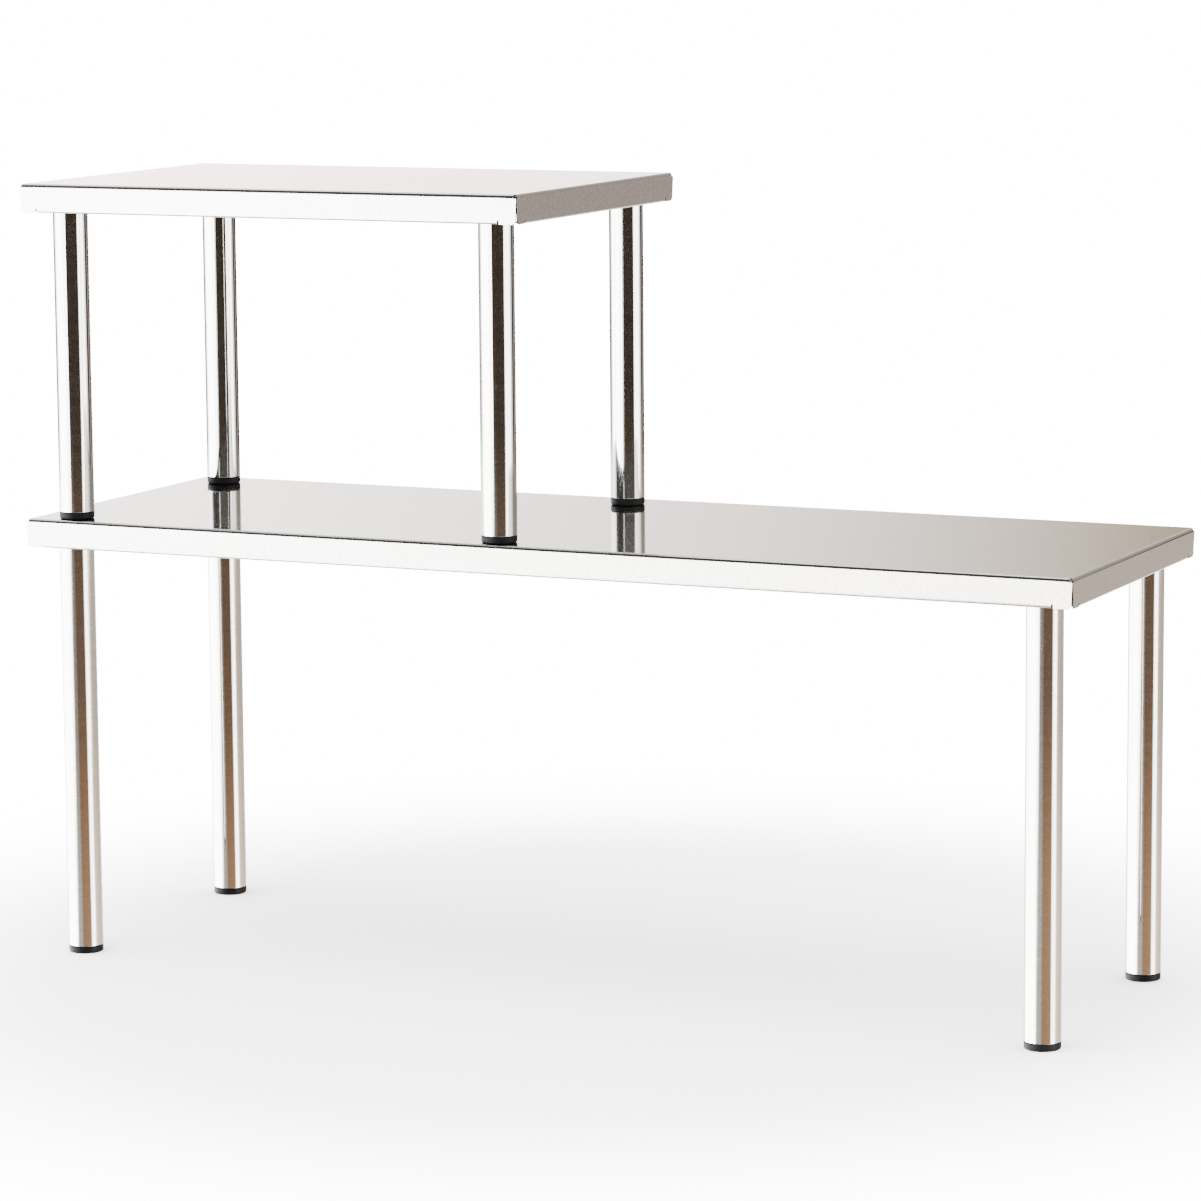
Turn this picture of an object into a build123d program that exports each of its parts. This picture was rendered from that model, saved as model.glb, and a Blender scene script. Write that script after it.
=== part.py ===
from build123d import *
from dataclasses import dataclass
import os

# Two-tier shelf riser: a short four-legged riser that stands loose on a long four-legged one.
#
# Each riser is a folded stainless tray on four screw-on tube legs. Under each corner of the tray
# a hat-shaped bracket is spot-welded, and a hex bolt hangs down through it. A leg is a tube with
# a threaded plug in its top end and a foot in its bottom end, and it is screwed up the bolt.
#
# +X runs along the risers, +Y to the back and +Z up. The origin is on the floor, under the middle
# of the overall box. All sizes are in millimetres.

# ---- Overall sizes --------------------------------------------------------------------------
lower_length = 600.0
upper_length = 297.0
shelf_depth = 200.0  # both trays
lower_height = 243.0  # floor to the lower tray's top face
upper_height = 183.0  # lower tray's top face to the upper tray's top face
upper_from_left = 4.5  # left end of the lower tray to the left end of the upper one
foot_to_front_edge = 2.5  # rim of an upper front foot to the lower tray's front face

# ---- Folded trays ---------------------------------------------------------------------------
sheet = 0.8
fold_radius = 1.8  # outside of each fold
rim_height = 15.5  # outside height of the turned-down rim
corner_gap = 0.4  # end of a short rim to the inner face of the long rim beside it
rim_end_lean = 0.6  # how far a rim's end leans back from the corner at its bottom
rim_corner_radius = 2.0  # rounding of a rim's bottom corners
hem_fold_radius = 1.0  # outside of the fold at a rim's bottom
hem_width = 7.0  # width of the lip folded in along a rim's bottom
hem_setback = 11.0  # corner of the tray to the end of a hem
relief_width = 1.0  # slot that frees the end of a hem
relief_height = 2.2

# ---- Legs -----------------------------------------------------------------------------------
tube_diameter = 19.0
tube_wall = 0.7
leg_to_side_hem = 2.0  # gap between a tube and the hem in front of it or behind it
leg_to_end_hem = 4.0  # gap between a tube and the hem at the tray's end

# ---- Feet and plugs, moulded to push into the tube ------------------------------------------
push_fit_clearance = 0.05  # radial, to the tube's bore
foot_height = 4.0
foot_edge_radius = 1.2
foot_top_chamfer = 0.4
foot_stem_length = 14.0
stem_wall = 2.2
rib_count = 3
rib_thickness = 1.6
rib_depth = 0.4
plug_flange_thickness = 1.2
plug_flange_inset = 0.3  # the flange stays this far inside the tube's outer face
plug_core = 14.0  # solid length of the plug above its nut
plug_skirt = 3.5  # length of the plug below its nut

# ---- M8 bolt and nut ------------------------------------------------------------------------
bolt_diameter = 8.0
hex_flats = 13.0
bolt_head_height = 5.3
nut_height = 6.5
bolt_past_nut = 1.8
bolt_tip_chamfer = 1.0
thread_clearance = 0.05  # radial, bolt to nut
hole_clearance = 0.2  # radial, bolt to bracket and plug
hex_clearance = 0.1  # each flat of the nut to its pocket
head_clearance = 0.2  # bolt head to the underside of the tray

# ---- Brackets -------------------------------------------------------------------------------
bracket_sheet = 1.5
bracket_width = 26.0
bracket_land = 2.0  # how far the bracket's seat runs past the tube
bracket_to_fold = 0.4  # end of the bracket's ear to the start of the tray's fold
bracket_fold_radius = 2.2

# ---- Worked out from the above --------------------------------------------------------------
tube_radius = tube_diameter / 2
tube_bore_radius = tube_radius - tube_wall
push_fit_radius = tube_bore_radius - push_fit_clearance
leg_inset_x = hem_width + leg_to_end_hem + tube_radius
leg_inset_y = hem_width + leg_to_side_hem + tube_radius
upper_overhang = leg_inset_y - tube_radius - foot_to_front_edge
seat_drop = head_clearance + bolt_head_height  # tray's underside to the bracket's seat
bolt_seat_depth = sheet + seat_drop  # tray's top face to the bracket's seat
tube_top_depth = bolt_seat_depth + bracket_sheet + plug_flange_thickness
bolt_length = bracket_sheet + plug_flange_thickness + plug_core + nut_height + bolt_past_nut
bolt_hole_radius = bolt_diameter / 2 + hole_clearance

CORNERS = {
    "front_left": (-1, -1),
    "front_right": (1, -1),
    "back_left": (-1, 1),
    "back_right": (1, 1),
}


@dataclass
class Riser:
    """One tray on four legs: its name and length, and where its middle, base and top face are."""

    name: str
    length: float
    centre_x: float
    centre_y: float
    base_z: float
    top_z: float

    def place(self, shape):
        """Moves a shape drawn about the middle of the tray's top face to its place."""
        return Pos(self.centre_x, self.centre_y, self.top_z) * shape

    def place_at_leg(self, shape, corner):
        """Moves a shape drawn about a leg's axis, down from the tray's top face, to that leg."""
        side_x, side_y = CORNERS[corner]
        leg_x = side_x * (self.length / 2 - leg_inset_x)
        leg_y = side_y * (shelf_depth / 2 - leg_inset_y)
        return self.place(Pos(leg_x, leg_y, 0) * shape)

    def height(self):
        """From the bottom of the feet to the tray's top face."""
        return self.top_z - self.base_z


def folded_strip(points, outside_radius, thickness, length):
    """Sheet folded at each inner point of a line along its middle, centred and running along X.

    The points are (y, z) pairs, and each fold has the given radius on its outside.
    """
    middle_line = FilletPolyline(*points, radius=outside_radius - thickness / 2)
    section = trace(middle_line, thickness)
    return extrude(Plane.YZ * section, amount=length / 2, both=True)


def rod(radius, height):
    """Cylinder standing on the XY plane."""
    return Cylinder(radius, height, align=(Align.CENTER, Align.CENTER, Align.MIN))


def hexagon(flats, height):
    """Hexagonal prism standing on the XY plane."""
    return extrude(RegularPolygon(flats / 2, 6, major_radius=False), amount=height)


# ---- Trays, drawn about the middle of the tray's top face -------------------------------------


def top_with_folds(length, across):
    """The flat top and the folds along its front and back edges, with the start of each rim."""
    edge_y = across / 2 - sheet / 2
    middle_z = -sheet / 2
    rim_start_z = -2 * fold_radius
    points = [(-edge_y, rim_start_z), (-edge_y, middle_z), (edge_y, middle_z), (edge_y, rim_start_z)]
    return folded_strip(points, fold_radius, sheet, length - 2 * fold_radius)


def rim(length, end_setback):
    """One rim and its hem, running along X with the outer face on the XZ plane.

    The setback is from the tray's corner to the end of the rim, at its top.
    """
    top_half = length / 2 - end_setback
    bottom_half = top_half - rim_end_lean
    outline = Polygon(
        (-top_half, -fold_radius),
        (top_half, -fold_radius),
        (bottom_half, -rim_height),
        (-bottom_half, -rim_height),
        align=None,
    )
    outline = fillet(outline.vertices().sort_by(Axis.Y)[:2], rim_corner_radius)
    hem_length = length - 2 * hem_setback
    hem_gap = Rectangle(hem_length + 2 * relief_width, 2 * relief_height)
    outline -= Pos(0, -rim_height) * hem_gap
    plate = extrude(Plane.XZ * outline, amount=sheet, dir=(0, 1, 0))
    hem_top_z = relief_height - rim_height
    lip_z = sheet / 2 - rim_height
    points = [(sheet / 2, hem_top_z), (sheet / 2, lip_z), (hem_width, lip_z)]
    return plate + folded_strip(points, hem_fold_radius, sheet, hem_length)


def top_with_rims(length, across, end_setback):
    """The flat top with the rims along its front and back edges."""
    front_rim = Pos(0, -across / 2, 0) * rim(length, end_setback)
    back_rim = Rot(0, 0, 180) * front_rim
    return top_with_folds(length, across) + front_rim + back_rim


def tray(riser):
    """One sheet with a turned-down rim on each side, and an open slit at each corner.

    The long rims reach the corners, and the short rims end just behind them.
    """
    long_rims = top_with_rims(riser.length, shelf_depth, 0)
    short_rims = top_with_rims(shelf_depth, riser.length, sheet + corner_gap)
    return long_rims + Rot(0, 0, 90) * short_rims


# ---- What holds a leg, drawn about its axis, down from the tray's top face --------------------


def bracket():
    """Hat-shaped bracket, with the bolt's hole in its seat and its two ears along X."""
    web = tube_radius + bracket_land + bracket_sheet / 2
    ear_end = leg_inset_x - fold_radius - bracket_to_fold
    ear_z = -bracket_sheet / 2
    seat_z = -(seat_drop + bracket_sheet / 2)
    points = [
        (-ear_end, ear_z),
        (-web, ear_z),
        (-web, seat_z),
        (web, seat_z),
        (web, ear_z),
        (ear_end, ear_z),
    ]
    hat = folded_strip(points, bracket_fold_radius, bracket_sheet, bracket_width)
    hole = Pos(0, 0, -(seat_drop + bracket_sheet)) * rod(bolt_hole_radius, bracket_sheet)
    return Pos(0, 0, -sheet) * Rot(0, 0, 90) * (hat - hole)


def bolt():
    """Hex bolt that hangs in the bracket."""
    shank = rod(bolt_diameter / 2, bolt_length)
    shank = chamfer(shank.edges().sort_by(Axis.Z)[0], bolt_tip_chamfer)
    head = Pos(0, 0, bolt_length) * hexagon(hex_flats, bolt_head_height)
    return Pos(0, 0, -(bolt_seat_depth + bolt_length)) * (shank + head)


def ribbed_stem(length):
    """Cylinder with round ribs that grip the tube's bore, standing on the XY plane."""
    stem = rod(push_fit_radius - rib_depth, length)
    pitch = length / rib_count
    for index in range(rib_count):
        rib_z = (index + 0.5) * pitch - rib_thickness / 2
        stem += Pos(0, 0, rib_z) * rod(push_fit_radius, rib_thickness)
    return stem


def plug():
    """Plug in the top of a leg: a flange, a ribbed body and a pocket for the nut."""
    pocket_depth = nut_height + plug_skirt
    body_length = plug_core + pocket_depth
    flange = Pos(0, 0, body_length) * rod(tube_radius - plug_flange_inset, plug_flange_thickness)
    pocket = hexagon(hex_flats + 2 * hex_clearance, pocket_depth)
    bore = rod(bolt_hole_radius, body_length + plug_flange_thickness)
    moulding = ribbed_stem(body_length) + flange - pocket - bore
    return Pos(0, 0, -(tube_top_depth + body_length)) * moulding


def nut():
    """Hex nut held in the plug."""
    blank = hexagon(hex_flats, nut_height)
    blank -= rod(bolt_diameter / 2 + thread_clearance, nut_height)
    return Pos(0, 0, -(tube_top_depth + plug_core + nut_height)) * blank


def tube(riser):
    """Leg tube, from the top of its foot to the plug's flange."""
    length = riser.height() - tube_top_depth - foot_height
    wall = rod(tube_radius, length) - rod(tube_bore_radius, length)
    return Pos(0, 0, foot_height - riser.height()) * wall


def foot(riser):
    """Moulded foot: a head as wide as the tube, and a hollow ribbed stem inside it."""
    head = rod(tube_radius, foot_height)
    head = fillet(head.edges().sort_by(Axis.Z)[0], foot_edge_radius)
    head = chamfer(head.edges().sort_by(Axis.Z)[-1], foot_top_chamfer)
    stem = ribbed_stem(foot_stem_length)
    stem -= rod(push_fit_radius - rib_depth - stem_wall, foot_stem_length)
    return Pos(0, 0, -riser.height()) * (head + Pos(0, 0, foot_height) * stem)


# ---- The two risers ---------------------------------------------------------------------------


def make_risers():
    """The risers, placed so that the origin is under the middle of their overall box."""
    foremost = min(0, -upper_overhang)
    rearmost = max(shelf_depth, shelf_depth - upper_overhang)
    lower = Riser(
        name="lower",
        length=lower_length,
        centre_x=0,
        centre_y=shelf_depth / 2 - (foremost + rearmost) / 2,
        base_z=0,
        top_z=lower_height,
    )
    upper = Riser(
        name="upper",
        length=upper_length,
        centre_x=upper_from_left + upper_length / 2 - lower_length / 2,
        centre_y=lower.centre_y - upper_overhang,
        base_z=lower_height,
        top_z=lower_height + upper_height,
    )
    return lower, upper


def riser_nodes(riser):
    """A riser's tray and its legs, by node name."""
    nodes = {f"{riser.name}_tray": riser.place(tray(riser))}
    leg_pieces = {
        "leg_bracket": bracket(),
        "leg_bolt": bolt(),
        "leg_plug": plug(),
        "leg_nut": nut(),
        "leg_tube": tube(riser),
        "foot": foot(riser),
    }
    for corner in CORNERS:
        for piece, shape in leg_pieces.items():
            nodes[f"{riser.name}_{piece}_{corner}"] = riser.place_at_leg(shape, corner)
    return nodes


lower_riser, upper_riser = make_risers()
all_nodes = riser_nodes(lower_riser) | riser_nodes(upper_riser)

os.makedirs("parts", exist_ok=True)
for node_name, node_shape in all_nodes.items():
    export_step(node_shape, f"parts/{node_name}.step")
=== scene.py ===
"""Looks for the tiered shelf riser: bright steel trays and tube legs with black feet."""
import math

import bmesh
import bpy
from mathutils import Matrix, Vector


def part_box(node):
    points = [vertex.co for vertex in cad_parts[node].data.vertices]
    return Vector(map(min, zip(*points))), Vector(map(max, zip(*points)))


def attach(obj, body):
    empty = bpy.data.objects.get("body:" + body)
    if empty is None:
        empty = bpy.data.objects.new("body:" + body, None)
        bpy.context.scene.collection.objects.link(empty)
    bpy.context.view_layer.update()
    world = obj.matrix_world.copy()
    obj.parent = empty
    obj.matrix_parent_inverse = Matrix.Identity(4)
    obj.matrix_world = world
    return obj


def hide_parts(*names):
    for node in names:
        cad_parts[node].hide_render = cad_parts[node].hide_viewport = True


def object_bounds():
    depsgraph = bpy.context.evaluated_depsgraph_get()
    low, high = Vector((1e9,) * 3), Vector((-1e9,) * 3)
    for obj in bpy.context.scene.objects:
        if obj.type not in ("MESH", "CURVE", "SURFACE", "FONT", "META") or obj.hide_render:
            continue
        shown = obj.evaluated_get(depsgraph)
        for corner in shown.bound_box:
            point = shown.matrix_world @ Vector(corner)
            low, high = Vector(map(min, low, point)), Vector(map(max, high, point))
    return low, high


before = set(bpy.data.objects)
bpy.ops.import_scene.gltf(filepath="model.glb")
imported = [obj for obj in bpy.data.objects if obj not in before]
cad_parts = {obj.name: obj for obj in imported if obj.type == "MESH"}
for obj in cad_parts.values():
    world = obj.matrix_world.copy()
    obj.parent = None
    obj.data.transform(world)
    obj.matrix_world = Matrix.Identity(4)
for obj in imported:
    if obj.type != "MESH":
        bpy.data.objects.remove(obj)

CAD_BOX = [list(corner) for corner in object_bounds()]
MM = 0.001
CORNERS = ("front_left", "front_right", "back_left", "back_right")

# Folded sheet, the same as in the CAD model
SHEET = 0.8 * MM
FOLD_RADIUS = 1.8 * MM
RIM_HEIGHT = 15.5 * MM
CORNER_GAP = 0.4 * MM
RIM_END_LEAN = 0.6 * MM
RIM_CORNER_RADIUS = 2.0 * MM
HEM_FOLD_RADIUS = 1.0 * MM
HEM_WIDTH = 7.0 * MM
HEM_SETBACK = 11.0 * MM
RELIEF_WIDTH = 1.0 * MM
RELIEF_HEIGHT = 2.2 * MM

# Legs, feet and bolts, the same as in the CAD model
TUBE_WALL = 0.7 * MM
FOOT_HEIGHT = 4.0 * MM
FOOT_EDGE_RADIUS = 1.2 * MM
STEM_RADIUS = 8.35 * MM
RIB_RADIUS = 8.75 * MM
STEM_BORE_RADIUS = 6.15 * MM
RIB_COUNT = 3
RIB_THICKNESS = 1.6 * MM
HEX_FLATS = 13.0 * MM
BOLT_HEAD_HEIGHT = 5.3 * MM
BOLT_RADIUS = 4.0 * MM

# Drawn only here: the corners' shoulders, the threads and the softened edges
SHOULDER_DROP = 0.35 * MM
THREAD_PITCH = 1.25 * MM
THREAD_DEPTH = 0.7 * MM
PLAIN_SHANK = 5.0 * MM
EDGE_SOFTENING = 0.12 * MM
TUBE_DEBURRING = 0.28 * MM
SOFTENED_ABOVE = 1.2  # radians between the two faces at an edge of the sheet

# How many steps a curve is drawn in
ROUND_STEPS = 96
THREAD_STEPS = 20
FOLD_STEPS = 8
HEM_STEPS = 5
RIM_CORNER_STEPS = 5

# How near two points count as one, and how near to level counts as level, in metres
WELD_DISTANCE = 1e-6
LEVEL_SLACK = 1e-7


# ---- Camera ---------------------------------------------------------------------------------


def add_camera():
    """Camera in front of the right end, looking slightly down."""
    turn = math.radians(24.72)
    tilt = math.radians(8.01)
    roll = math.radians(-0.43)
    distance = 2.479
    aim_rise = 0.0206
    low, high = (Vector(corner) for corner in CAD_BOX)
    aim = (low + high) / 2
    data = bpy.data.cameras.new("camera")
    data.sensor_width = 36
    data.lens = 138
    data.shift_y = -0.05
    data.clip_start = 0.05
    data.clip_end = 60
    camera = bpy.data.objects.new("camera", data)
    bpy.context.collection.objects.link(camera)
    turned = Matrix.Rotation(turn, 4, "Z") @ Matrix.Rotation(math.radians(90) - tilt, 4, "X")
    turned = turned @ Matrix.Rotation(roll, 4, "Z")
    camera.matrix_world = Matrix.Translation(aim) @ turned @ Matrix.Translation((0, aim_rise, distance))
    bpy.context.scene.camera = camera


# ---- Shader helpers -------------------------------------------------------------------------


def link(tree, source, target):
    tree.links.new(source, target)


def set_or_link(tree, value, socket):
    """Puts a number on a socket, or links another node's output to it."""
    if isinstance(value, (int, float)):
        socket.default_value = value
    elif value is not None:
        link(tree, value, socket)


def math_node(tree, operation, first, second=None):
    """A Math node with values or sockets on its inputs; returns its output."""
    node = tree.nodes.new("ShaderNodeMath")
    node.operation = operation
    set_or_link(tree, first, node.inputs[0])
    set_or_link(tree, second, node.inputs[1])
    return node.outputs[0]


def spread(tree, value, from_low, from_high, to_low, to_high):
    """Maps a value from one range to another, clamped; returns its output."""
    node = tree.nodes.new("ShaderNodeMapRange")
    link(tree, value, node.inputs["Value"])
    ends = ("From Min", "From Max", "To Min", "To Max")
    for socket, end in zip(ends, (from_low, from_high, to_low, to_high)):
        set_or_link(tree, end, node.inputs[socket])
    return node.outputs["Result"]


def ramp(tree, factor, stops, interpolation="EASE"):
    """A colour ramp through (place, grey or colour) stops; returns its colour output."""
    node = tree.nodes.new("ShaderNodeValToRGB")
    node.color_ramp.interpolation = interpolation
    elements = node.color_ramp.elements
    while len(elements) < len(stops):
        elements.new(0.5)
    for element, (place, tone) in zip(elements, stops):
        element.position = place
        shade = tone if isinstance(tone, tuple) else (tone, tone, tone)
        element.color = (*shade, 1)
    link(tree, factor, node.inputs[0])
    return node.outputs[0]


def blend_tones(tree, share, first, second):
    """Mixes two colours, each a tuple or a socket, by a share from 0 to 1."""
    mix = tree.nodes.new("ShaderNodeMix")
    mix.data_type = "RGBA"
    link(tree, share, mix.inputs["Factor"])
    for tone, socket in ((first, mix.inputs["A"]), (second, mix.inputs["B"])):
        if isinstance(tone, tuple):
            socket.default_value = (*tone, 1)
        else:
            link(tree, tone, socket)
    return mix.outputs["Result"]


def noise(tree, place, scale, detail=2.0, roughness=0.5):
    """A noise value; scale may be a socket."""
    node = tree.nodes.new("ShaderNodeTexNoise")
    link(tree, place, node.inputs["Vector"])
    set_or_link(tree, scale, node.inputs["Scale"])
    node.inputs["Detail"].default_value = detail
    node.inputs["Roughness"].default_value = roughness
    return node.outputs["Fac"]


def stretched(tree, scale):
    """Object coordinates drawn out by a scale along each axis."""
    mapping = tree.nodes.new("ShaderNodeMapping")
    mapping.inputs["Scale"].default_value = scale
    link(tree, tree.nodes.new("ShaderNodeTexCoord").outputs["Object"], mapping.inputs["Vector"])
    return mapping.outputs["Vector"]


# ---- Studio ---------------------------------------------------------------------------------

WHITE = (1.5, 1.5, 1.5)
DARK_FRONT = (0.0042, 0.0028, 0.0018)
BACK_GREY = (0.05, 0.041, 0.037)
NEAR_BLACK = (0.003, 0.0028, 0.0025)

# Each band of the studio starts at one elevation and is fully in at the next, in degrees.
# Its stops go round the studio: degrees from the front towards the right, and a tone.
# The notes say what mirrors a band for this camera. The lowest one is for the hems' folds.
LOWEST_BAND = [
    (-180, (0.3, 0.29, 0.28)),
    (-80, (0.3, 0.29, 0.28)),
    (-60, (0.035, 0.034, 0.032)),
    (50, (0.035, 0.034, 0.032)),
    (80, (0.3, 0.29, 0.28)),
    (112, (0.3, 0.29, 0.28)),
    (128, (0.02, 0.0185, 0.017)),
    (170, (0.02, 0.0185, 0.017)),
    (180, (0.3, 0.29, 0.28)),
]
HIGHER_BANDS = [
    # The lower legs' bottom half
    (-36, -16, [
        (-180, (0.2, 0.18, 0.16)),
        (-125, (0.3, 0.29, 0.27)),
        (-108, WHITE),
        (-40, WHITE),
        (-26, (0.9, 0.87, 0.82)),
        (-20, (0.085, 0.08, 0.074)),
        (6, (0.072, 0.067, 0.061)),
        (16, (0.05, 0.029, 0.0155)),
        (67, (0.06, 0.034, 0.018)),
        (75, (0.7, 0.68, 0.64)),
        (92, (0.9, 0.88, 0.85)),
        (106, (0.2, 0.16, 0.12)),
        (150, (0.12, 0.1, 0.08)),
        (180, (0.2, 0.18, 0.16)),
    ]),
    # The lower legs' top half, and the lower tray's rims
    (-12.5, -10.0, [
        (-180, (0.1, 0.09, 0.08)),
        (-125, (0.3, 0.29, 0.27)),
        (-108, WHITE),
        (-40, WHITE),
        (-17, (0.9, 0.86, 0.8)),
        (-12, (0.042, 0.039, 0.036)),
        (5, (0.032, 0.0285, 0.025)),
        (16, (0.0166, 0.0101, 0.0063)),
        (67, (0.0175, 0.0108, 0.0068)),
        (75, (0.7, 0.68, 0.64)),
        (92, (0.9, 0.88, 0.85)),
        (104, (0.1, 0.08, 0.062)),
        (135, (0.078, 0.064, 0.054)),
        (170, (0.078, 0.064, 0.054)),
        (180, (0.1, 0.09, 0.08)),
    ]),
    # The upper legs, and the upper tray's rims
    (-8.0, -6.8, [
        (-180, NEAR_BLACK),
        (-112, (0.02, 0.018, 0.016)),
        (-97, (0.22, 0.21, 0.2)),
        (-80, WHITE),
        (-29, WHITE),
        (-19, (0.85, 0.85, 0.86)),
        (-8, WHITE),
        (-5, DARK_FRONT),
        (72, DARK_FRONT),
        (76, (0.8, 0.79, 0.8)),
        (112, (0.9, 0.89, 0.87)),
        (122, (0.1, 0.092, 0.078)),
        (128, (0.2, 0.19, 0.175)),
        (134, NEAR_BLACK),
        (147, NEAR_BLACK),
        (150, BACK_GREY),
        (159, BACK_GREY),
        (161, NEAR_BLACK),
        (180, NEAR_BLACK),
    ]),
    # The upper tray's top
    (-1.5, 0.5, [
        (-180, (0.2, 0.18, 0.17)),
        (-162, (0.27, 0.235, 0.215)),
        (-149, (0.52, 0.44, 0.42)),
        (-120, (0.7, 0.69, 0.68)),
        (-80, WHITE),
        (-55, (0.05, 0.05, 0.05)),
        (-8, (0.05, 0.05, 0.05)),
        (-5, DARK_FRONT),
        (72, DARK_FRONT),
        (76, (0.5, 0.49, 0.48)),
        (112, (0.5, 0.49, 0.47)),
        (128, (0.045, 0.04, 0.036)),
        (170, (0.045, 0.04, 0.036)),
        (180, (0.2, 0.18, 0.17)),
    ]),
    # The lower tray's top
    (4.7, 5.7, [
        (-180, (0.046, 0.0425, 0.0375)),
        (-171, (0.046, 0.0405, 0.033)),
        (-163, (0.048, 0.036, 0.0215)),
        (-150, (0.38, 0.355, 0.345)),
        (-110, (0.5, 0.49, 0.48)),
        (-80, (0.7, 0.7, 0.7)),
        (-55, (0.005, 0.005, 0.005)),
        (72, (0.008, 0.007, 0.006)),
        (76, (0.4, 0.4, 0.4)),
        (105, (0.3, 0.3, 0.29)),
        (128, (0.04, 0.036, 0.032)),
        (170, (0.04, 0.036, 0.032)),
        (180, (0.046, 0.0425, 0.0375)),
    ]),
    # From here up, the trays' folds, and the tops when they are seen from higher up
    (9, 12, [
        (-180, (0.1, 0.095, 0.09)),
        (-158, (0.1, 0.095, 0.09)),
        (-145, (0.3, 0.28, 0.27)),
        (-80, (0.4, 0.4, 0.4)),
        (-46, (0.3, 0.3, 0.3)),
        (-38, (0.006, 0.006, 0.006)),
        (-13, (0.006, 0.006, 0.006)),
        (-5, (0.2, 0.195, 0.19)),
        (22, (0.3, 0.29, 0.28)),
        (60, (0.22, 0.215, 0.21)),
        (105, (0.3, 0.3, 0.29)),
        (128, (0.04, 0.036, 0.032)),
        (168, (0.04, 0.036, 0.032)),
        (180, (0.1, 0.095, 0.09)),
    ]),
    (16, 24, [
        (-180, (0.05, 0.046, 0.042)),
        (-160, (0.08, 0.077, 0.074)),
        (-140, (0.24, 0.24, 0.235)),
        (-110, (0.24, 0.24, 0.24)),
        (-50, (0.16, 0.16, 0.16)),
        (-43, (0.006, 0.006, 0.006)),
        (-9, (0.006, 0.006, 0.006)),
        (-1, (0.14, 0.14, 0.14)),
        (50, (0.12, 0.12, 0.12)),
        (100, (0.2, 0.2, 0.2)),
        (125, (0.05, 0.046, 0.042)),
        (180, (0.05, 0.046, 0.042)),
    ]),
    (32, 50, [
        (-180, (0.24, 0.235, 0.23)),
        (-110, (0.24, 0.24, 0.24)),
        (-78, (0.16, 0.16, 0.16)),
        (-66, (0.005, 0.005, 0.005)),
        (16, (0.005, 0.005, 0.005)),
        (28, (0.14, 0.14, 0.14)),
        (50, (0.14, 0.14, 0.14)),
        (100, (0.24, 0.24, 0.24)),
        (180, (0.24, 0.235, 0.23)),
    ]),
    (80, 88, [
        (-180, (0.3, 0.3, 0.305)),
        (180, (0.3, 0.3, 0.305)),
    ]),
]
MIRRORED_STRENGTH = 12
SOFT_STRENGTH = 6
BACKDROP_STRENGTH = 17


def around(tree, bearing, stops):
    """Tones round the studio at one height."""
    return ramp(tree, bearing, [(0.5 + degrees / 360, tone) for degrees, tone in stops], "LINEAR")


def mirrored_walls(tree):
    """What bright steel mirrors: white sheets, a dark wall in front on the right, grey at the back."""
    place = tree.nodes.new("ShaderNodeTexCoord").outputs["Generated"]
    split = tree.nodes.new("ShaderNodeSeparateXYZ")
    link(tree, place, split.inputs[0])
    x, y, z = split.outputs
    angle = math_node(tree, "ARCTAN2", x, math_node(tree, "MULTIPLY", y, -1))
    bearing = math_node(tree, "ADD", math_node(tree, "DIVIDE", angle, 2 * math.pi), 0.5)
    elevation = math_node(tree, "DIVIDE", math_node(tree, "ARCSINE", z), math.radians(1))
    tone = around(tree, bearing, LOWEST_BAND)
    for start, end, stops in HIGHER_BANDS:
        share = spread(tree, elevation, start, end, 0, 1)
        tone = blend_tones(tree, share, tone, around(tree, bearing, stops))
    return tone


def background(tree, strength, tone=None):
    """A white background, or one of a linked tone."""
    node = tree.nodes.new("ShaderNodeBackground")
    node.inputs["Color"].default_value = (1, 1, 1, 1)
    node.inputs["Strength"].default_value = strength
    if tone is not None:
        link(tree, tone, node.inputs["Color"])
    return node.outputs[0]


def mix_shaders(tree, share, first, second):
    """Mixes two shaders by a share from 0 to 1."""
    mix = tree.nodes.new("ShaderNodeMixShader")
    link(tree, share, mix.inputs[0])
    link(tree, first, mix.inputs[1])
    link(tree, second, mix.inputs[2])
    return mix.outputs[0]


def add_studio():
    """White studio: an even light on matt things, and walls of several tones for bright steel."""
    world = bpy.data.worlds.new("studio")
    bpy.context.scene.world = world
    world.use_nodes = True
    tree = world.node_tree
    tree.nodes.clear()
    mirrored = background(tree, MIRRORED_STRENGTH, mirrored_walls(tree))
    soft = background(tree, SOFT_STRENGTH)
    backdrop = background(tree, BACKDROP_STRENGTH)
    path = tree.nodes.new("ShaderNodeLightPath")
    lighting = mix_shaders(tree, path.outputs["Is Glossy Ray"], soft, mirrored)
    seen = mix_shaders(tree, path.outputs["Is Camera Ray"], lighting, backdrop)
    link(tree, seen, tree.nodes.new("ShaderNodeOutputWorld").inputs["Surface"])


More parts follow.
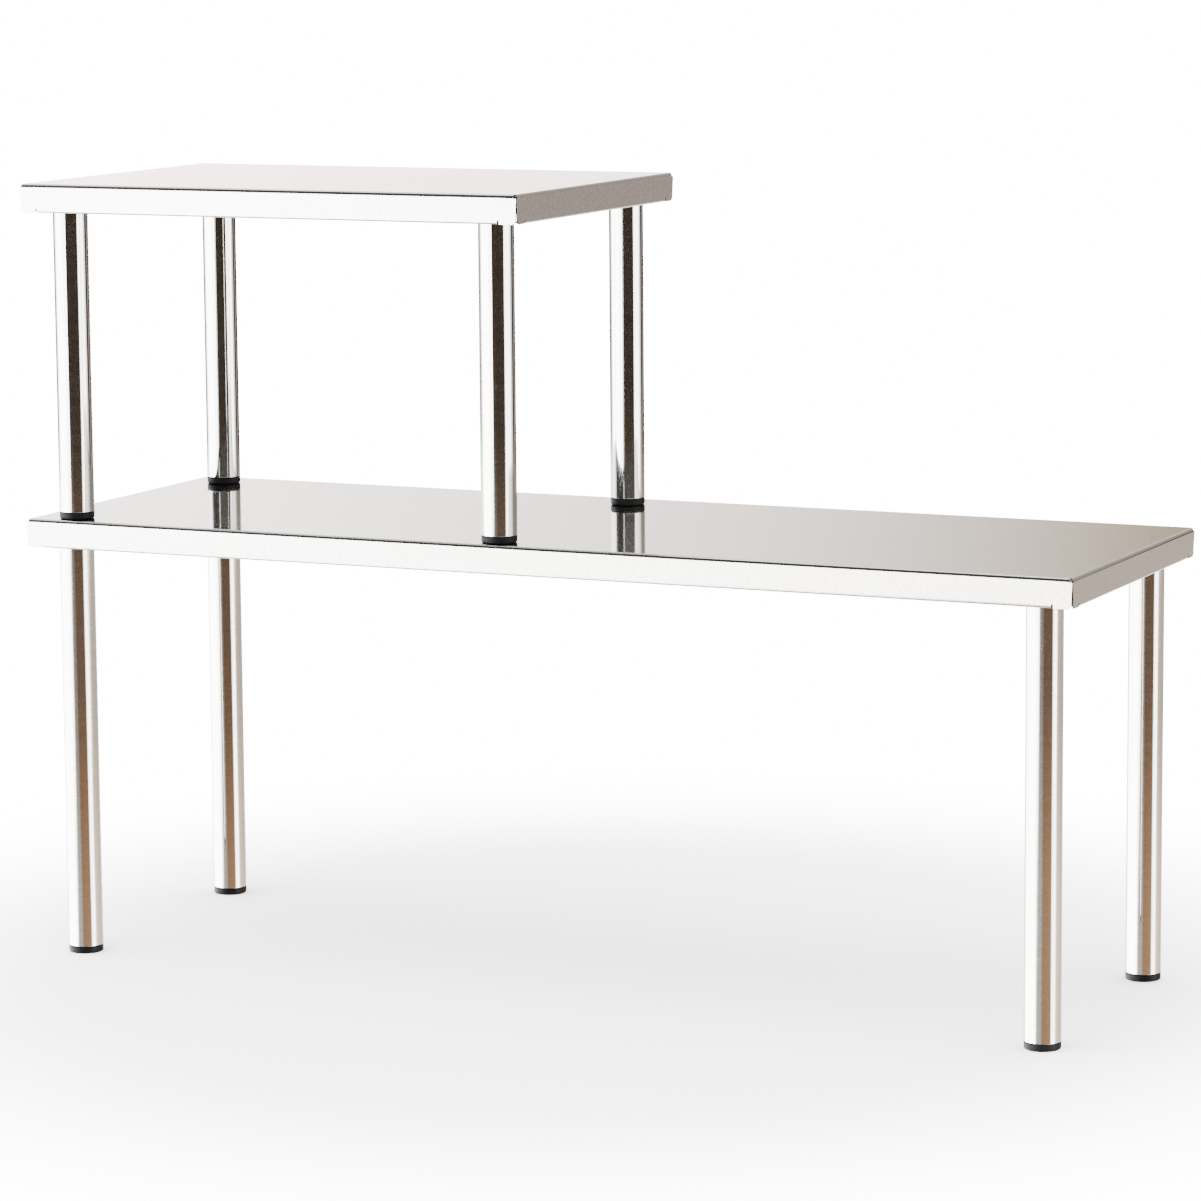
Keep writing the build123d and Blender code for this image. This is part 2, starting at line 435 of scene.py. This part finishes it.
def add_floor():
    """Pale floor that fades into the backdrop."""
    size = 0.62
    fade_start, fade_end = 0.45, 0.98
    mesh = bpy.data.meshes.new("floor")
    bm = bmesh.new()
    bmesh.ops.create_circle(bm, cap_ends=True, segments=ROUND_STEPS, radius=size)
    bm.to_mesh(mesh)
    bm.free()
    floor = bpy.data.objects.new("floor", mesh)
    bpy.context.collection.objects.link(floor)
    material = bpy.data.materials.new("floor")
    material.use_nodes = True
    tree = material.node_tree
    tree.nodes.clear()
    length = tree.nodes.new("ShaderNodeVectorMath")
    length.operation = "LENGTH"
    link(tree, tree.nodes.new("ShaderNodeTexCoord").outputs["Object"], length.inputs[0])
    share = math_node(tree, "DIVIDE", length.outputs["Value"], size)
    fade = ramp(tree, share, [(fade_start, 0.0), (fade_end, 1.0)])
    paint = tree.nodes.new("ShaderNodeBsdfDiffuse")
    paint.inputs["Color"].default_value = (0.9, 0.9, 0.9, 1)
    clear = tree.nodes.new("ShaderNodeBsdfTransparent")
    path = tree.nodes.new("ShaderNodeLightPath")
    below = tree.nodes.new("ShaderNodeNewGeometry").outputs["Backfacing"]
    hidden = math_node(tree, "MAXIMUM", fade, path.outputs["Is Glossy Ray"])
    hidden = math_node(tree, "MAXIMUM", hidden, below)
    surface = mix_shaders(tree, hidden, paint.outputs[0], clear.outputs[0])
    link(tree, surface, tree.nodes.new("ShaderNodeOutputMaterial").inputs["Surface"])
    mesh.materials.append(material)


def add_softbox():
    """Large soft light overhead, which bright steel doesn't mirror."""
    data = bpy.data.lights.new("softbox", "AREA")
    data.shape = "SQUARE"
    data.size = 1.6
    data.energy = 90
    light = bpy.data.objects.new("softbox", data)
    light.location = (-0.5, -0.4, 2.4)
    light.rotation_euler = (Vector((0, 0, 0.2)) - light.location).to_track_quat("-Z", "Y").to_euler()
    light.visible_glossy = False
    bpy.context.collection.objects.link(light)


# ---- Effects that several finishes share ------------------------------------------------------


def new_group(name, inputs, outputs):
    """A node group with named sockets; returns its tree and its input and output nodes."""
    tree = bpy.data.node_groups.new(name, "ShaderNodeTree")
    for socket, kind, value in inputs:
        made = tree.interface.new_socket(socket, in_out="INPUT", socket_type=kind)
        if value is not None:
            made.default_value = value
    for socket, kind in outputs:
        tree.interface.new_socket(socket, in_out="OUTPUT", socket_type=kind)
    return tree, tree.nodes.new("NodeGroupInput"), tree.nodes.new("NodeGroupOutput")


def make_brushed_grain():
    """Fine scratches of uneven strength, drawn out by the place that comes in."""
    tree, given, made = new_group(
        "brushed_grain",
        [("Place", "NodeSocketVector", None), ("Fineness", "NodeSocketFloat", 1.0)],
        [("Grain", "NodeSocketFloat")],
    )
    place, fineness = given.outputs["Place"], given.outputs["Fineness"]
    fine = noise(tree, place, math_node(tree, "MULTIPLY", fineness, 3.1), detail=4, roughness=0.7)
    broad = noise(tree, place, math_node(tree, "MULTIPLY", fineness, 0.35), detail=2)
    fine_share = math_node(tree, "MULTIPLY", fine, 0.65)
    broad_share = math_node(tree, "MULTIPLY", broad, 0.35)
    mixed = math_node(tree, "ADD", fine_share, broad_share)
    link(tree, spread(tree, mixed, 0.3, 0.7, 0, 1), made.inputs["Grain"])
    return tree


def make_handling_marks():
    """Faint cloudy smears, thicker in some places, with small specks between."""
    tree, given, made = new_group(
        "handling_marks",
        [("Place", "NodeSocketVector", None), ("Cover", "NodeSocketFloat", 0.5)],
        [("Smear", "NodeSocketFloat"), ("Specks", "NodeSocketFloat")],
    )
    place, cover = given.outputs["Place"], given.outputs["Cover"]
    cloud = noise(tree, place, 14, detail=3)
    patch = noise(tree, place, 5, detail=1)
    start = math_node(tree, "SUBTRACT", 0.8, math_node(tree, "MULTIPLY", cover, 0.4))
    end = math_node(tree, "ADD", start, 0.22)
    amount = math_node(tree, "MULTIPLY", cloud, math_node(tree, "ADD", patch, 0.5))
    link(tree, spread(tree, amount, start, end, 0, 1), made.inputs["Smear"])
    specks = noise(tree, place, 420, detail=1)
    link(tree, spread(tree, specks, 0.72, 0.8, 0, 1), made.inputs["Specks"])
    return tree


def make_rubbed_folds():
    """Where a sheet's fold faces up and out, and hands and cloths rub it, in uneven patches."""
    tree, given, made = new_group(
        "rubbed_folds",
        [("Place", "NodeSocketVector", None), ("Facing", "NodeSocketVector", None)],
        [("Rubbed", "NodeSocketFloat")],
    )
    split = tree.nodes.new("ShaderNodeSeparateXYZ")
    link(tree, given.outputs["Facing"], split.inputs[0])
    rise = split.outputs["Z"]
    from_side = spread(tree, rise, 0.12, 0.5, 0, 1)
    from_top = spread(tree, rise, 0.82, 0.985, 1, 0)
    patches = spread(tree, noise(tree, given.outputs["Place"], 55, detail=3), 0.3, 0.62, 0.25, 1)
    fold = math_node(tree, "MULTIPLY", from_side, from_top)
    link(tree, math_node(tree, "MULTIPLY", fold, patches), made.inputs["Rubbed"])
    return tree


def place_group(tree, group, **values):
    """Puts a group in a material with its own values or links; returns its outputs."""
    node = tree.nodes.new("ShaderNodeGroup")
    node.node_tree = group
    for name, value in values.items():
        set_or_link(tree, value, node.inputs[name])
    return node.outputs


def bump(tree, height, distance, normal=None):
    """A Bump node of a depth in metres, on top of an earlier one; returns its normal."""
    node = tree.nodes.new("ShaderNodeBump")
    node.inputs["Strength"].default_value = 1
    node.inputs["Distance"].default_value = distance
    link(tree, height, node.inputs["Height"])
    if normal is not None:
        link(tree, normal, node.inputs["Normal"])
    return node.outputs["Normal"]


# ---- Finishes ---------------------------------------------------------------------------------

# How far the shared effects dull a steel's tone and add to its roughness
SMEAR_DULLS = 0.25
SMEAR_ROUGHENS = 0.05
SPECKS_ROUGHEN = 0.05
RUBBING_DULLS = 0.35
RUBBING_ROUGHENS = 0.035

# Steel's dark speckle and slow waves
SPECKLE_SCALE = 850
SPECKLE_TONE = 0.6
WAVE_SCALE = 9

# The plastic's pebbled skin and its dust
PEBBLE_SCALE = 2600
PEBBLE_DEPTH = 6e-6
DUST_IN_SMEARS = 0.5
DUST_COVER = 0.7


def steel(groups, name, dull, bright, roughness, grain, anisotropy=0.0, grain_depth=5e-7,
          wave_depth=0.0, smears=0.3, speckle=0.0, rubbed=False):
    """Stainless steel with a drawn-out grain, faint smears and, on sheets, slow waves.

    Roughness is the smoothest and the roughest value, and grain is its scale along each axis.
    """
    material = bpy.data.materials.new(name)
    material.use_nodes = True
    tree = material.node_tree
    shader = tree.nodes["Principled BSDF"]
    whole = tree.nodes.new("ShaderNodeTexCoord")
    scratches = place_group(tree, groups["grain"], Place=stretched(tree, grain), Fineness=1.0)
    marks = place_group(tree, groups["marks"], Place=whole.outputs["Object"], Cover=smears)
    tone = blend_tones(tree, scratches["Grain"], dull, bright)
    tone = blend_tones(tree, math_node(tree, "MULTIPLY", marks["Smear"], SMEAR_DULLS), tone, dull)
    if speckle:
        dots = noise(tree, whole.outputs["Object"], SPECKLE_SCALE, detail=2, roughness=0.7)
        bite = spread(tree, dots, 0.34, 0.66, 0, speckle)
        tone = blend_tones(tree, bite, tone, tuple(SPECKLE_TONE * channel for channel in dull))
    smooth, rough = roughness
    value = spread(tree, scratches["Grain"], 0, 1, smooth, rough)
    value = math_node(tree, "ADD", value, math_node(tree, "MULTIPLY", marks["Smear"], SMEAR_ROUGHENS))
    value = math_node(tree, "ADD", value, math_node(tree, "MULTIPLY", marks["Specks"], SPECKS_ROUGHEN))
    if rubbed:
        folds = place_group(
            tree, groups["folds"], Place=whole.outputs["Object"], Facing=whole.outputs["Normal"]
        )
        tone = blend_tones(tree, math_node(tree, "MULTIPLY", folds["Rubbed"], RUBBING_DULLS), tone, dull)
        extra = math_node(tree, "MULTIPLY", folds["Rubbed"], RUBBING_ROUGHENS)
        value = math_node(tree, "ADD", value, extra)
    normal = bump(tree, scratches["Grain"], grain_depth)
    if wave_depth:
        waves = noise(tree, whole.outputs["Object"], WAVE_SCALE, detail=1)
        normal = bump(tree, waves, wave_depth, normal)
    link(tree, tone, shader.inputs["Base Color"])
    link(tree, value, shader.inputs["Roughness"])
    link(tree, normal, shader.inputs["Normal"])
    shader.inputs["Metallic"].default_value = 1
    shader.inputs["Anisotropic"].default_value = anisotropy
    shader.inputs["Anisotropic Rotation"].default_value = 0.25
    return material


def moulded_plastic(groups, name, dark, light, roughness, specular):
    """Moulded plastic with a fine pebbled skin, dust in patches and scuffs."""
    material = bpy.data.materials.new(name)
    material.use_nodes = True
    tree = material.node_tree
    shader = tree.nodes["Principled BSDF"]
    place = tree.nodes.new("ShaderNodeTexCoord").outputs["Object"]
    pebbles = noise(tree, place, PEBBLE_SCALE, detail=2)
    marks = place_group(tree, groups["marks"], Place=place, Cover=DUST_COVER)
    dust = math_node(tree, "MULTIPLY", marks["Smear"], DUST_IN_SMEARS)
    dusty = math_node(tree, "MAXIMUM", dust, marks["Specks"])
    link(tree, blend_tones(tree, dusty, dark, light), shader.inputs["Base Color"])
    smooth, rough = roughness
    link(tree, spread(tree, pebbles, 0.3, 0.7, smooth, rough), shader.inputs["Roughness"])
    link(tree, bump(tree, pebbles, PEBBLE_DEPTH), shader.inputs["Normal"])
    shader.inputs["Specular IOR Level"].default_value = specular
    return material


def make_finishes():
    """Every finish on the riser, by name."""
    groups = {
        "grain": make_brushed_grain(),
        "marks": make_handling_marks(),
        "folds": make_rubbed_folds(),
    }
    return {
        "tray": steel(
            groups, "tray_steel", (0.66, 0.65, 0.635), (0.78, 0.77, 0.75), (0.05, 0.075),
            (14, 900, 900), wave_depth=2e-5, smears=0.45, speckle=0.6, rubbed=True,
        ),
        # The sheet's cut faces get a very dark tone: painted shade that stands in for the dark slits
        # where the rims meet at the corners
        "cut_edge_painted_shade": steel(
            groups, "cut_edge_painted_shade_steel", (0.03, 0.029, 0.028), (0.09, 0.088, 0.085), (0.3, 0.45),
            (700, 700, 60), grain_depth=8e-6,
        ),
        "tube": steel(
            groups, "tube_steel", (0.66, 0.65, 0.635), (0.77, 0.76, 0.74), (0.05, 0.085),
            (26, 26, 1100), anisotropy=0.3, grain_depth=2e-7, smears=0.25, speckle=0.3,
        ),
        "bracket": steel(
            groups, "bracket_steel", (0.4, 0.395, 0.385), (0.6, 0.59, 0.575), (0.26, 0.42),
            (40, 600, 600), grain_depth=6e-6, smears=0.6,
        ),
        "fastener": steel(
            groups, "fastener_steel", (0.5, 0.49, 0.45), (0.68, 0.67, 0.62), (0.2, 0.36),
            (300, 300, 900), grain_depth=5e-6, smears=0.6,
        ),
        "foot": moulded_plastic(
            groups, "foot_plastic", (0.0022, 0.0022, 0.0024), (0.009, 0.009, 0.0085), (0.38, 0.55), 0.1
        ),
        "plug": moulded_plastic(
            groups, "plug_plastic", (0.006, 0.006, 0.0065), (0.02, 0.02, 0.019), (0.45, 0.6), 0.15
        ),
    }


# ---- Making pieces ----------------------------------------------------------------------------


def new_edges(made, verts=None):
    """The edges in an operator's result whose two ends are both new."""
    edges = [item for item in made if isinstance(item, bmesh.types.BMEdge)]
    return [edge for edge in edges if verts is None or all(vert in verts for vert in edge.verts)]


def pull_out(bm, edges, move):
    """Extrudes edges and moves their copies; returns the copies and their vertices."""
    made = bmesh.ops.extrude_edge_only(bm, edges=edges)["geom"]
    verts = {item for item in made if isinstance(item, bmesh.types.BMVert)}
    bmesh.ops.translate(bm, verts=list(verts), vec=move)
    return new_edges(made, verts), verts


def turn_over(bm, edges, centre, steps):
    """Folds a row of edges that runs along X through a right angle; returns its last row."""
    made = bmesh.ops.spin(
        bm, geom=edges, cent=centre, axis=(1, 0, 0), dvec=(0, 0, 0),
        angle=math.radians(90), steps=steps, use_merge=False,
    )
    return new_edges(made["geom_last"])


def closed_line(bm, points):
    """A ring of edges through (radius, z) points in the XZ plane."""
    verts = [bm.verts.new((radius, 0, z)) for radius, z in points]
    return [bm.edges.new((first, last)) for first, last in zip(verts, verts[1:] + verts[:1])]


def open_line(bm, points):
    """A row of edges through (radius, z) points in the XZ plane."""
    verts = [bm.verts.new((radius, 0, z)) for radius, z in points]
    return [bm.edges.new(ends) for ends in zip(verts, verts[1:])]


def spin_round(bm, edges):
    """Spins a section a full turn about the Z axis and closes its seam and poles."""
    bmesh.ops.spin(
        bm, geom=edges, cent=(0, 0, 0), axis=(0, 0, 1), dvec=(0, 0, 0),
        angle=2 * math.pi, steps=ROUND_STEPS, use_merge=True,
    )
    bmesh.ops.remove_doubles(bm, verts=bm.verts, dist=WELD_DISTANCE)
    bmesh.ops.recalc_face_normals(bm, faces=bm.faces)


def soften(bm, edges, width):
    """Takes the sharpness off edges."""
    bmesh.ops.bevel(
        bm, geom=edges, offset=width, segments=2, profile=0.5, affect="EDGES", material=-1
    )


def add_piece(bm, name, place, body, node, materials, sharp_above=35):
    """Turns a mesh drawn about its own axis into a piece that stands for a CAD node."""
    bmesh.ops.translate(bm, verts=bm.verts, vec=place)
    mesh = bpy.data.meshes.new(name)
    bm.to_mesh(mesh)
    bm.free()
    for material in materials:
        mesh.materials.append(material)
    mesh.shade_smooth()
    mesh.set_sharp_from_angle(angle=math.radians(sharp_above))
    piece = bpy.data.objects.new(name, mesh)
    flats = piece.modifiers.new("flats_stay_flat", "WEIGHTED_NORMAL")
    flats.keep_sharp = True
    flats.weight = 100
    bpy.context.collection.objects.link(piece)
    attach(piece, body)
    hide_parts(node)


# ---- Trays ------------------------------------------------------------------------------------


def add_side(bm, length, across, end_setback, quarter_turns):
    """One fold with its rim, end tabs and hem, turned to its side of the tray."""
    earlier = set(bm.verts)
    half = length / 2
    face_y = -across / 2
    corner_x = half - FOLD_RADIUS
    hem_x = half - HEM_SETBACK
    slot_x = hem_x + RELIEF_WIDTH
    fold_y = face_y + FOLD_RADIUS
    along = (-corner_x, -slot_x, -hem_x, hem_x, slot_x, corner_x)
    verts = [bm.verts.new((x, fold_y, 0)) for x in along]
    row = [bm.edges.new(ends) for ends in zip(verts, verts[1:])]
    row = turn_over(bm, row, (0, fold_y, -FOLD_RADIUS), FOLD_STEPS)

    def end_x(depth):
        """Where a rim ends at a depth below the top, as it leans back."""
        lean = RIM_END_LEAN * (depth - FOLD_RADIUS) / (RIM_HEIGHT - FOLD_RADIUS)
        return half - end_setback - lean

    def set_ends(verts, depth, beyond):
        for vert in verts:
            if abs(vert.co.x) > beyond:
                vert.co.x = math.copysign(end_x(depth), vert.co.x)

    row, verts = pull_out(bm, row, (0, 0, -SHOULDER_DROP))
    set_ends(verts, FOLD_RADIUS + SHOULDER_DROP, slot_x + MM)
    relief_depth = RIM_HEIGHT - RELIEF_HEIGHT
    row, verts = pull_out(bm, row, (0, 0, FOLD_RADIUS + SHOULDER_DROP - relief_depth))
    set_ends(verts, relief_depth, slot_x + MM)

    def middle(edge):
        return abs(edge.verts[0].co.x + edge.verts[1].co.x) / 2

    tabs = [edge for edge in row if middle(edge) > slot_x]
    hem = [edge for edge in row if middle(edge) < hem_x]
    _, verts = pull_out(bm, tabs, (0, 0, -RELIEF_HEIGHT))
    set_ends(verts, RIM_HEIGHT, slot_x + MM)
    bmesh.ops.bevel(
        bm, geom=[vert for vert in verts if abs(vert.co.x) > slot_x + MM], offset=RIM_CORNER_RADIUS,
        segments=RIM_CORNER_STEPS, profile=0.5, affect="VERTICES", material=-1,
    )
    row, _ = pull_out(bm, hem, (0, 0, HEM_FOLD_RADIUS - RELIEF_HEIGHT))
    row = turn_over(bm, row, (0, face_y + HEM_FOLD_RADIUS, HEM_FOLD_RADIUS - RIM_HEIGHT), HEM_STEPS)
    pull_out(bm, row, (0, HEM_WIDTH - HEM_FOLD_RADIUS, 0))
    flap = [vert for vert in bm.verts if vert not in earlier]
    bmesh.ops.rotate(
        bm, verts=flap, cent=(0, 0, 0), matrix=Matrix.Rotation(quarter_turns * math.pi / 2, 3, "Z")
    )


def cut_faces(bm):
    """The narrow faces that join the two sides of the sheet."""
    slack = 0.04 * MM

    def as_thick_as_sheet(edge):
        return abs(edge.calc_length() - SHEET) < slack

    four_sided = [face for face in bm.faces if len(face.verts) == 4]
    return [face for face in four_sided if sum(map(as_thick_as_sheet, face.edges)) >= 2]


def add_tray(name, body, finishes):
    """Folded tray: a flat top, a fold on each side, rims with hems, and an open slit at each corner."""
    low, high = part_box(name)
    length, across = high.x - low.x, high.y - low.y
    bm = bmesh.new()
    for quarter_turns in (0, 2):
        add_side(bm, length, across, 0, quarter_turns)
    for quarter_turns in (1, 3):
        add_side(bm, across, length, SHEET + CORNER_GAP, quarter_turns)
    bmesh.ops.remove_doubles(bm, verts=bm.verts, dist=WELD_DISTANCE)
    open_edges = [edge for edge in bm.edges if edge.is_boundary]
    rim_of_top = [edge for edge in open_edges if all(abs(vert.co.z) < LEVEL_SLACK for vert in edge.verts)]
    bmesh.ops.edgeloop_fill(bm, edges=rim_of_top)
    bmesh.ops.recalc_face_normals(bm, faces=bm.faces)
    top = max(bm.faces, key=lambda face: face.calc_area())
    if top.normal.z < 0:
        bmesh.ops.reverse_faces(bm, faces=bm.faces)
    bmesh.ops.solidify(bm, geom=bm.faces[:], thickness=SHEET)
    narrow_faces = cut_faces(bm)
    # The cut faces take the second finish, whose dark tone is painted shade for the slits at the corners
    for face in narrow_faces:
        face.material_index = 1
    round_cut = {edge for face in narrow_faces for edge in face.edges}
    along_cut = [edge for edge in round_cut if edge.calc_face_angle(0) > SOFTENED_ABOVE]
    soften(bm, along_cut, EDGE_SOFTENING)
    place = ((low.x + high.x) / 2, (low.y + high.y) / 2, high.z)
    metals = [finishes["tray"], finishes["cut_edge_painted_shade"]]
    add_piece(bm, f"{name}_sheet", place, body, name, metals, sharp_above=30)


# ---- Legs -------------------------------------------------------------------------------------


def axis_and_size(node):
    """Where an upright round node stands, its radius and its height."""
    low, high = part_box(node)
    place = Vector(((low.x + high.x) / 2, (low.y + high.y) / 2, low.z))
    return place, (high.x - low.x) / 2, high.z - low.z


def add_tube(node, body, finishes):
    """Leg tube with both ends deburred."""
    place, radius, height = axis_and_size(node)
    bm = bmesh.new()
    bore = radius - TUBE_WALL
    ring = closed_line(bm, [(radius, 0), (radius, height), (bore, height), (bore, 0)])
    corners = list({vert for edge in ring for vert in edge.verts})
    bmesh.ops.bevel(
        bm, geom=corners, offset=TUBE_DEBURRING, segments=3, profile=0.5, affect="VERTICES", material=-1
    )
    spin_round(bm, bm.edges[:])
    add_piece(bm, f"{node}_polished", place, body, node, [finishes["tube"]])


def foot_outline(radius, height):
    """Section of a foot from the middle of its base round to the middle of its hollow stem."""
    recess_radius, recess_depth = 6.0 * MM, 0.5 * MM
    stem_height = height - FOOT_HEIGHT
    points = [(0, recess_depth), (recess_radius - recess_depth, recess_depth), (recess_radius, 0)]
    curve_steps = 6
    for index in range(curve_steps + 1):
        turn = math.radians(90) * index / curve_steps
        out = radius - FOOT_EDGE_RADIUS + FOOT_EDGE_RADIUS * math.sin(turn)
        points.append((out, FOOT_EDGE_RADIUS * (1 - math.cos(turn))))
    shoulder = 0.4 * MM
    points += [(radius, FOOT_HEIGHT - shoulder), (radius - shoulder, FOOT_HEIGHT)]
    points.append((STEM_RADIUS, FOOT_HEIGHT))
    taper = 0.3 * MM
    pitch = stem_height / RIB_COUNT
    for index in range(RIB_COUNT):
        middle = FOOT_HEIGHT + (index + 0.5) * pitch
        low, high = middle - RIB_THICKNESS / 2, middle + RIB_THICKNESS / 2
        points += [(STEM_RADIUS, low), (RIB_RADIUS, low + taper)]
        points += [(RIB_RADIUS, high - taper), (STEM_RADIUS, high)]
    points += [(STEM_RADIUS, height), (STEM_BORE_RADIUS, height)]
    points += [(STEM_BORE_RADIUS, FOOT_HEIGHT), (0, FOOT_HEIGHT)]
    return points


def add_foot(node, body, finishes):
    """Moulded foot with a rounded base, a shallow recess under it and a ribbed stem."""
    place, radius, height = axis_and_size(node)
    bm = bmesh.new()
    spin_round(bm, open_line(bm, foot_outline(radius, height)))
    plastic = [finishes["foot"]]
    add_piece(bm, f"{node}_moulded", place, body, node, plastic, sharp_above=40)


def add_bolt(node, body, finishes):
    """Hex bolt: a head with its corners taken off, a plain neck and a cut thread."""
    low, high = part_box(node)
    place = Vector(((low.x + high.x) / 2, (low.y + high.y) / 2, low.z))
    height = high.z - low.z
    head_bottom = height - BOLT_HEAD_HEIGHT
    neck_bottom = head_bottom - PLAIN_SHANK
    bm = bmesh.new()
    chamfer = 1.0 * MM
    core = BOLT_RADIUS - THREAD_DEPTH
    points = [(0, 0), (core - chamfer, 0), (core, chamfer), (core, neck_bottom)]
    points += [(BOLT_RADIUS, neck_bottom + THREAD_DEPTH), (BOLT_RADIUS, head_bottom), (0, head_bottom)]
    spin_round(bm, open_line(bm, points))

    turns = math.floor((neck_bottom - chamfer) / THREAD_PITCH)
    sunk = core - 0.1 * MM
    crest = BOLT_RADIUS - 0.05 * MM
    crest_start, crest_end, root = (share * THREAD_PITCH for share in (0.45, 0.55, 0.98))
    ridge = closed_line(bm, [
        (sunk, chamfer), (crest, chamfer + crest_start),
        (crest, chamfer + crest_end), (sunk, chamfer + root),
    ])
    steps = turns * THREAD_STEPS
    rise = (turns - 1) * THREAD_PITCH / steps
    end_section = bmesh.ops.edgeloop_fill(bm, edges=ridge)["faces"]
    bmesh.ops.spin(
        bm, geom=end_section, cent=(0, 0, 0), axis=(0, 0, 1), dvec=(0, 0, rise),
        angle=2 * math.pi * turns, steps=steps, use_merge=False,
    )

    flat_to_corner = math.pi / 6
    corner_radius = HEX_FLATS / 2 / math.cos(flat_to_corner)
    corner_cut = 1.3 * MM
    head = bmesh.ops.create_cone(
        bm, cap_ends=True, segments=6, radius1=corner_radius, radius2=corner_radius,
        depth=BOLT_HEAD_HEIGHT,
    )["verts"]
    bmesh.ops.rotate(bm, verts=head, cent=(0, 0, 0), matrix=Matrix.Rotation(flat_to_corner, 3, "Z"))
    bmesh.ops.translate(bm, verts=head, vec=(0, 0, height - BOLT_HEAD_HEIGHT / 2))
    top_corners = [vert for vert in head if vert.co.z > height - MM]
    bmesh.ops.bevel(
        bm, geom=top_corners, offset=corner_cut, segments=1, profile=0.5, affect="VERTICES", material=-1
    )
    bmesh.ops.recalc_face_normals(bm, faces=bm.faces)
    add_piece(bm, f"{node}_threaded", place, body, node, [finishes["fastener"]])


# ---- The two risers ---------------------------------------------------------------------------


def dress_cad_nodes(finishes):
    """Gives the brackets, plugs and nuts, whose CAD shape stays, their finishes."""
    kept_kinds = (("leg_bracket", "bracket"), ("leg_plug", "plug"), ("leg_nut", "fastener"))
    for name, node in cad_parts.items():
        for kind, finish in kept_kinds:
            if kind in name:
                node.data.materials.clear()
                node.data.materials.append(finishes[finish])


def add_riser(riser, finishes):
    """One tray with its four legs."""
    body = f"{riser}_riser"
    add_tray(f"{riser}_tray", body, finishes)
    for corner in CORNERS:
        add_tube(f"{riser}_leg_tube_{corner}", body, finishes)
        add_foot(f"{riser}_foot_{corner}", body, finishes)
        add_bolt(f"{riser}_leg_bolt_{corner}", body, finishes)


add_camera()
add_studio()
add_floor()
add_softbox()
finishes = make_finishes()
dress_cad_nodes(finishes)
for riser in ("lower", "upper"):
    add_riser(riser, finishes)
